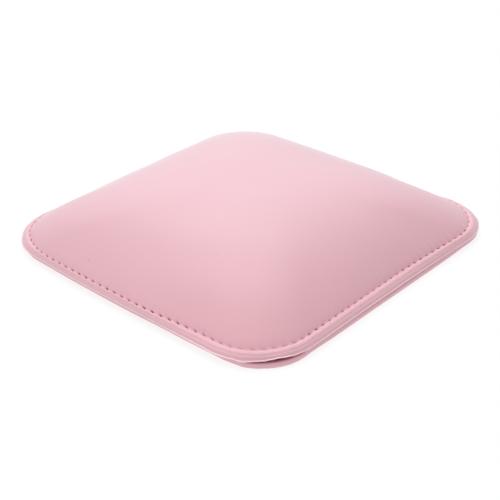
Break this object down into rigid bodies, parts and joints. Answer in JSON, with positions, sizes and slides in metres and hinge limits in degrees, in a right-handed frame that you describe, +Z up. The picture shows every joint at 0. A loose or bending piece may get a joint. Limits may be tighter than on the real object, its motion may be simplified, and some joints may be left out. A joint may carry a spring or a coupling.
{
  "type": "manicure hand rest",
  "caption": "Square domed hand rest cushion in pale pink leather-like cover, stitched all round its edge to a thin flat base, for resting a hand during a manicure.",
  "frame": {"origin": "on the table under the middle of the pad's square outline", "axes": "+Z up through the dome; +X and +Y along the square's two side directions"},
  "size_m": [0.15, 0.15, 0.0251],
  "materials": {
    "top_leather": "pale pink leather-like cover, smooth fine grain, satin",
    "base_leather": "pink leather-like underside, fine grain, matt",
    "thread": "pink twisted sewing thread",
    "foam": "cream open-cell cushion foam",
    "board": "grey-brown stiff fibre board"
  },
  "bodies": {
    "root": {"top_cover": "top_leather", "foam_pad": "foam", "base_board": "board", "base_cover": "base_leather", "needle_thread": "thread", "bobbin_thread": "thread"}
  },
  "joints": []
}
